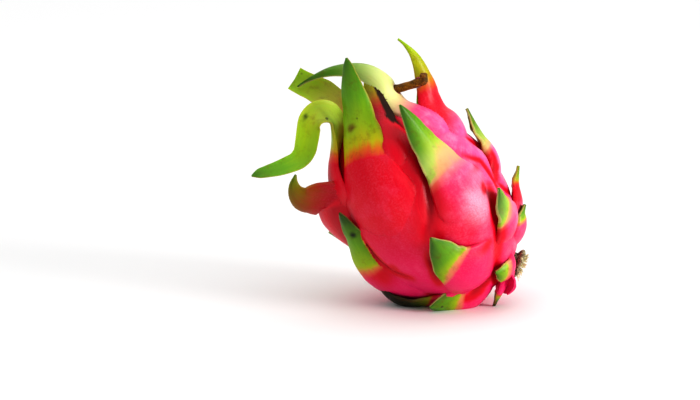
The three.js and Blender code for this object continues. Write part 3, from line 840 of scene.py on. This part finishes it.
def waxy_skin(colours):
    """Living pitaya rind: a thin waxy cuticle over coloured flesh. It is satin rather than glossy, with
    fine pores, veins along the blades, and colour that runs from crimson through yellow to green. Its colour
    also holds painted light: painted shade in the creases, hollows and shaded lobes, painted highlights on
    the wax, and pink towards the upper right that is partly painted light."""
    made, tree, shader = new_material("waxy_pitaya_rind")
    place = add(tree, "ShaderNodeTexCoord").outputs["Object"]
    grain = attribute(tree, "grain", "Vector")
    stretched = add(tree, "ShaderNodeMapping", {"Vector": grain, "Scale": (1.0, 0.09, 1.0)}).outputs["Vector"]
    streaks = noise(tree, stretched, 1.1, 2.0, 0.6)
    broad_streaks = noise(tree, stretched, 3.2, 2.0)
    blotches = noise(tree, place, 14 * MM, 3.0, 0.6)
    speckle = noise(tree, place, 0.8 * MM, 2.0, 0.6)
    hollow, shade, pink = (attribute(tree, name) for name in ("hollow", "shade", "pink"))

    # The red: magenta towards the bottom, made lighter there as painted light from the floor; crimson at the
    # sides; pink and orchid towards the upper right, partly the skin's own colour and partly painted light
    # from the lamps at the upper right.
    parts = add(tree, "ShaderNodeSeparateXYZ", {"Vector": place}).outputs
    upper_right = plus(tree, times(tree, parts["X"], 0.6), times(tree, parts["Z"], 0.6))
    uneven = plus(tree, span(tree, blotches, 0.3, 0.7, -0.12, 0.12), pink)
    pinkness = plus(tree, span(tree, upper_right, 34 * MM, 80 * MM), uneven, clamp=True)
    low = mix(tree, span(tree, parts["Z"], 8 * MM, 52 * MM, 1, 0), colours.crimson, colours.magenta)
    high = mix(tree, span(tree, upper_right, 60 * MM, 78 * MM), colours.pink, colours.orchid)
    # hidden: painted shade, the share of a hollow in which the pink gives way to crimson.
    hidden = span(tree, hollow, 0.2, 1.3, 0, 0.9)

    # Painted highlights from the list, and pale pink patches and streaks that are partly the skin's wax and
    # partly painted highlight; none in the creases, where painted shade falls.
    open_air = math_of(tree, "SUBTRACT", 1.0, hidden)
    painted_highlight = times(tree, attribute(tree, "bloom"), span(tree, speckle, 0.3, 0.7, 0.7, 1.1))
    patches = span(tree, noise(tree, place, 7 * MM, 4.0, 0.7), 0.45, 0.75, 0, 0.35)
    patches = plus(tree, patches, span(tree, broad_streaks, 0.5, 0.85, 0, 0.15))
    patches = times(tree, patches, pinkness)
    red = layered(tree, mix(tree, pinkness, low, high), [
        # Painted shade: dark red on the lobes of scales that lie in shadow, then crimson in place of pink in
        # the hollows.
        (span(tree, pink, -1.0, -2.0), colours.crease),
        (hidden, colours.crimson),
        (span(tree, speckle, 0.4, 0.75, 0, 0.08), colours.vein),
        (times(tree, painted_highlight, open_air), colours.bloom),
        (times(tree, patches, open_air), colours.bloom),
        (span(tree, streaks, 0.5, 0.2, 0, 0.3), colours.crimson),
        # Painted shade: dark red in the deepest hollows, then along the shade paths, crimson at their fringe
        # and dark red in the middle.
        (span(tree, hollow, 0.7, 2.6, 0, 0.5), colours.crease),
        (span(tree, shade, 0, 0.3), colours.crimson),
        (span(tree, shade, 0.2, 0.9, 0, 0.9), colours.crease),
    ])

    # The blades: a pink scale turns green a little sooner than a red one, and through peach.
    turning = plus(tree, attribute(tree, "green"), span(tree, broad_streaks, 0.25, 0.75, -0.014, 0.014))
    turning = plus(tree, turning, span(tree, streaks, 0.3, 0.7, -0.009, 0.009))
    blushing = span(tree, pink, -0.1, 0.05)
    sooner = times(tree, span(tree, turning, 0.44, 0.56, 0, 0.08), blushing)
    stops = [(at, getattr(colours, name)) for name, at in LEAF_STOPS.items()]

    # Their age: brown mottling, browned shares, a dried rim, pale and near black shares, scars, dry edges.
    # On some scales the pale share is a painted highlight and the near black is painted shade.
    mottling = span(tree, noise(tree, place, 5 * MM, 4.0, 0.7), 0.5, 0.72, 0, 0.35)
    rim = span(tree, attribute(tree, "margin"), 0.9, 1.0, 0, 0.4)
    leaf = layered(tree, ramp(tree, plus(tree, turning, sooner), stops), [
        (times(tree, span(tree, turning, 0.54, 0.46, 0, 0.9), blushing), colours.peach),
        (mottling, colours.brown),
        (attribute(tree, "brown"), colours.brown),
        (rim, mix(tree, blushing, colours.tan, colours.cream)),
    ])
    on_leaf = span(tree, turning, 0.5, 0.6)
    scars = span(tree, dots(tree, place, 9 * MM), 0.06, 0.12, 0.7, 0)
    withered = times(tree, attribute(tree, "dry"), span(tree, streaks, 0.3, 0.55, 1.4, 0.9), clamp=True)
    final = layered(tree, mix(tree, span(tree, turning, 0.28, 0.46), red, leaf), [
        (attribute(tree, "pale"), colours.pale_yellow),
        (attribute(tree, "dark"), colours.scorched_and_shade),
        (times(tree, scars, on_leaf), colours.dry),
        (span(tree, withered, 0.35, 0.75), colours.dry),
    ])

    # The sheen: satin, duller where withered. Light sinks into the green. Pores and veins stand out.
    shine = span(tree, speckle, 0.3, 0.7, 0.34, 0.46)
    relief = plus(tree, times(tree, dots(tree, place, 1.3 * MM), 0.35), times(tree, streaks, 0.8))
    fine = bump(tree, relief, 0.35, 0.25 * MM)
    fill(tree, shader, {
        "Base Color": final,
        "Roughness": plus(tree, shine, span(tree, withered, 0.3, 0.8, 0, 0.3)),
        "Specular IOR Level": 0.3,
        "Subsurface Weight": times(tree, on_leaf, 0.5),
        "Subsurface Radius": (0.7, 1.0, 0.2),
        "Subsurface Scale": 3 * MM,
        "Normal": bump(tree, broad_streaks, 0.4, 0.6 * MM, Normal=fine),
    })
    return made


def dry_fibre(name, colours, dark, pale, size):
    """Dead plant fibre, such as a cut stalk left to dry: matt, streaked and mottled from brown to straw,
    with dark pits and a dull green film except where it is freshly torn and pale."""
    made, tree, shader = new_material(name)
    place = add(tree, "ShaderNodeTexCoord").outputs["Object"]
    torn = attribute(tree, "pale")
    blotches = noise(tree, place, size, 4.0, 0.65)
    pits = noise(tree, place, size / 4, 3.0, 0.6)
    straw = plus(tree, torn, span(tree, blotches, 0.35, 0.7, -0.2, 0.5), clamp=True)
    tone = mix(tree, straw, dark, pale)
    film = span(tree, noise(tree, place, 1.7 * size, 2.0), 0.52, 0.66, 0.0, 0.7)
    aged = mix(tree, torn, mix(tree, film, tone, colours.moss), tone)
    sound = math_of(tree, "SUBTRACT", 1.0, torn, clamp=True)
    pitted = times(tree, span(tree, pits, 0.45, 0.62, 0.65, 0.0), sound)
    fill(tree, shader, {
        "Base Color": mix(tree, pitted, aged, colours.pit),
        "Roughness": 0.85,
        "Normal": bump(tree, pits, 0.7, 0.4 * MM),
    })
    return made


class FRUIT_OT_skin(bpy.types.Operator):
    """Add the fruit's skin with all its scales as one closed surface"""

    bl_idname = "fruit.skin"
    bl_label = "Skin and scales"

    def execute(self, context):
        sizes, colours = context.scene.fruit_sizes, context.scene.fruit_colours
        scales = [scale_mesh(sizes, scale, number) for number, scale in enumerate(all_scales())]
        mesh = joined(body_mesh(sizes), scales, "UNION")
        rooms = [ground_mesh(), stalk_room_mesh(sizes), remnant_room_mesh(sizes)]
        mesh = joined(mesh, rooms, "DIFFERENCE")
        fill_seams(mesh, dict.fromkeys(SHARES, 1) | {"grain": 3})
        sculpt(mesh, sizes)
        add_hollows(mesh)
        soft_shading(mesh, 55 * DEG)
        mesh.name = "fruit_skin"
        mesh.materials.clear()
        mesh.materials.append(waxy_skin(colours))
        piece = object_of(mesh)
        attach(piece, "root")
        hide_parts("fruit")
        return {"FINISHED"}


def ground_mesh():
    """What lies below the resting surface, as one block that is cut away."""
    corners = np.array([(-1, -1), (1, -1), (1, 1), (-1, 1)]) * GROUND_REACH
    rings = np.stack([np.column_stack([corners, np.full(4, z)]) for z in (-GROUND_DEPTH, 0.0)])
    return closed_mesh("ground", rings, {})


def stalk_room_mesh(sizes):
    """The bore for the stalk's plug and the room for its collar."""
    point, normal = body_at(sizes, 180, 0)
    out = np.array([-STUB_SUNK - GAP, 0.3 * MM, 1 * MM, 3 * STUB_OUT])
    radius = np.array([STUB_PLUG + GAP, STUB_PLUG + GAP, 1.35 * STUB_RADIUS, 1.75 * STUB_RADIUS])
    return tube_mesh("stalk_room", point + normal * out[:, None], radius, 48)


class FRUIT_OT_stalk(bpy.types.Operator):
    """Add the dried stub of the stalk with its torn fibres"""

    bl_idname = "fruit.stalk"
    bl_label = "Stalk stub"

    def execute(self, context):
        sizes, colours = context.scene.fruit_sizes, context.scene.fruit_colours
        point, normal = body_at(sizes, 180, 0)
        out, radius, torn = (smooth_rows(np.array(STUB_PROFILE, float), STUB_RINGS).T)[:, :, None]
        turn = np.linspace(0, 1, STUB_AROUND, endpoint=False)
        free = np.clip((out - 0.5) / 3, 0, 1)
        rough = free * (0.10 * wobble(turn, 11, 3) + 0.06 * wobble(turn, 12, 9))
        ragged = np.clip(torn, 0, 1) * 1.5 * (wobble(turn, 13, 5) - 0.4)
        height, reach = (out + ragged) * MM, radius * MM * (1 + rough)
        rings = point + normal * height[..., None] + rays(normal, turn) * reach[..., None]
        collar = closed_mesh("stalk_stub", rings, {"pale": 0.25 * free * np.ones_like(reach)})
        mesh = merged([collar, *fibre_meshes(point, normal)], "stalk_stub")
        soft_shading(mesh, 50 * DEG)
        mesh.materials.append(dry_fibre("dried_stalk", colours, colours.stalk, colours.fibre, 2.5 * MM))
        piece = object_of(mesh)
        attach(piece, "root")
        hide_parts("stem_stub")
        return {"FINISHED"}


def fibre_meshes(point, normal):
    """Torn fibres round the stub's face: thin tapered tubes that start in the rim and bend outward."""
    draw = make_draw(FIBRE_SEED)
    made = []
    for number in range(FIBRES):
        ray = rays(normal, [(number + 0.4 * next(draw)) / FIBRES])
        reach = (2.4 + 1.2 * abs(next(draw))) * MM
        lean = 0.4 + 0.5 * next(draw)
        foot = point + ray * (4.2 + 1.8 * next(draw)) * MM + normal * 3.0 * MM
        s = np.linspace(0, 1, 6)[:, None]
        path = foot + normal * reach * s + ray * lean * reach * s**2
        thin = 0.34 * MM * (1 - 0.5 * s[:, 0])
        pale = np.full((6, 5), 1.0 + 0.5 * next(draw))
        made.append(tube_mesh("fibre", path, thin, 5, {"pale": pale}))
    return made


def merged(meshes, name):
    """Several meshes as one, each kept as its own shell."""
    things = [object_of(mesh) for mesh in meshes]
    with bpy.context.temp_override(
        active_object=things[0], object=things[0], selected_objects=things, selected_editable_objects=things
    ):
        bpy.ops.object.join()
    mesh = things[0].data
    bpy.data.objects.remove(things[0])
    mesh.name = name
    return mesh


def remnant_path(sizes, count, sunk=11):
    """The withered flower's middle line: out of the navel, over to the tallest blade, and up in a hook."""
    point, normal = body_at(sizes, 0, 0)
    starts = [point + normal * out * MM for out in (-sunk, -3, 4)]
    return smooth_rows(np.vstack([*starts, np.array(REMNANT_BENDS) * MM + np.array(sizes.middle)]), count)


def remnant_room_mesh(sizes):
    """The room that the withered flower needs clear in the skin."""
    path = remnant_path(sizes, 40, 11.7)
    radius = REMNANT_RADIUS * np.linspace(1.1, 0.85, len(path)) + 2 * GAP
    return tube_mesh("flower_room", path, radius, 24)


class FRUIT_OT_flower(bpy.types.Operator):
    """Add the withered flower that stands out of the navel"""

    bl_idname = "fruit.flower"
    bl_label = "Withered flower"

    def execute(self, context):
        sizes, colours = context.scene.fruit_sizes, context.scene.fruit_colours
        path = remnant_path(sizes, 90)
        s = np.linspace(0, 1, len(path))[:, None]
        turn = np.linspace(0, 1, REMNANT_AROUND, endpoint=False)[None]
        ribs = 0.09 * np.sin(2 * math.pi * (5 * turn + 1.5 * s)) + 0.05 * wobble(s * 2 + turn, 21, 4)
        radius = REMNANT_RADIUS * (1.1 - 0.25 * s[:, 0]) * (1 + 0.07 * wobble(s[:, 0], 22, 4))
        pale = 0.3 + 0.3 * wobble(s + 0 * turn, 23, 3)
        mesh = tube_mesh("withered_flower", path, radius, REMNANT_AROUND, {"pale": pale}, ribs)
        soft_shading(mesh, 50 * DEG)
        mesh.materials.append(
            dry_fibre("withered_flower_tube", colours, colours.withered, colours.amber, 2.2 * MM)
        )
        piece = object_of(mesh)
        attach(piece, "root")
        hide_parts("flower_remnant")
        return {"FINISHED"}


def faced(thing, at, aim):
    """Puts a light or a camera at one point, facing another."""
    thing.location = at
    thing.rotation_euler = (Vector(aim) - Vector(at)).to_track_quat("-Z", "Y").to_euler()


class FRUIT_OT_stage(bpy.types.Operator):
    """Add the plain floor, the soft boxes, the surrounding light and the camera"""

    bl_idname = "fruit.stage"
    bl_label = "Stage"

    def execute(self, context):
        stage, sizes = context.scene.stage_settings, context.scene.fruit_sizes
        floor = bpy.data.meshes.new("floor")
        corners = [(x * FLOOR_REACH, y * FLOOR_REACH, 0) for x, y in ((-1, -1), (1, -1), (1, 1), (-1, 1))]
        floor.from_pydata(corners, [], [(0, 1, 2, 3)])
        # Matt white paper: no glint, so the shadow under the fruit is all that shows of it.
        material, tree, shader = new_material("matt_white_paper")
        fill(tree, shader, {"Base Color": stage.floor, "Roughness": 0.9, "Specular IOR Level": 0.1})
        floor.materials.append(material)
        object_of(floor)

        middle = np.array(sizes.middle)
        for name, (at, aim, side, watts) in SOFT_BOXES.items():
            data = bpy.data.lights.new(name, "AREA")
            data.shape, data.size, data.energy = "SQUARE", side, watts
            faced(object_of(data), middle + at, middle + aim)

        world = bpy.data.worlds.new("white_room")
        world.use_nodes = True
        background = world.node_tree.nodes["Background"]
        background.inputs["Color"].default_value = (1, 1, 1, 1)
        background.inputs["Strength"].default_value = stage.surroundings
        context.scene.world = world
        context.scene.view_settings.view_transform = "Standard"
        context.scene.view_settings.look = "High Contrast"

        aim = middle + (-stage.aside, 0, stage.above)
        back = np.array([0, -math.cos(stage.elevation), math.sin(stage.elevation)])
        data = bpy.data.cameras.new("camera")
        data.sensor_width = 36
        data.lens = data.sensor_width * stage.distance / stage.picture_width
        data.clip_start, data.clip_end = 0.01, 50
        camera = object_of(data)
        faced(camera, aim + back * stage.distance, aim)
        context.scene.camera = camera
        return {"FINISHED"}


class FRUIT_PT_maker(bpy.types.Panel):
    """Lists the fruit's pieces"""

    bl_idname = "FRUIT_PT_maker"
    bl_label = "Dragon Fruit"
    bl_space_type = "VIEW_3D"
    bl_region_type = "UI"
    bl_category = "Dragon Fruit"

    def draw(self, context):
        for operator in OPERATORS:
            self.layout.operator(operator.bl_idname)
        for group in (context.scene.fruit_sizes, context.scene.fruit_colours, context.scene.stage_settings):
            box = self.layout.box()
            for key in group.bl_rna.properties.keys():
                if key not in ("rna_type", "name"):
                    box.prop(group, key)


OPERATORS = (FRUIT_OT_stage, FRUIT_OT_skin, FRUIT_OT_stalk, FRUIT_OT_flower)
GROUPS = {"fruit_sizes": FruitSizes, "fruit_colours": FruitColours, "stage_settings": StageSettings}


def register():
    for item in (*GROUPS.values(), *OPERATORS, FRUIT_PT_maker):
        bpy.utils.register_class(item)
    for name, group in GROUPS.items():
        setattr(bpy.types.Scene, name, bpy.props.PointerProperty(type=group))


def unregister():
    for name in GROUPS:
        delattr(bpy.types.Scene, name)
    for item in reversed((*GROUPS.values(), *OPERATORS, FRUIT_PT_maker)):
        bpy.utils.unregister_class(item)


def main():
    register()
    for operator in OPERATORS:
        group, name = operator.bl_idname.split(".")
        getattr(getattr(bpy.ops, group), name)()


if __name__ == "__main__":
    main()
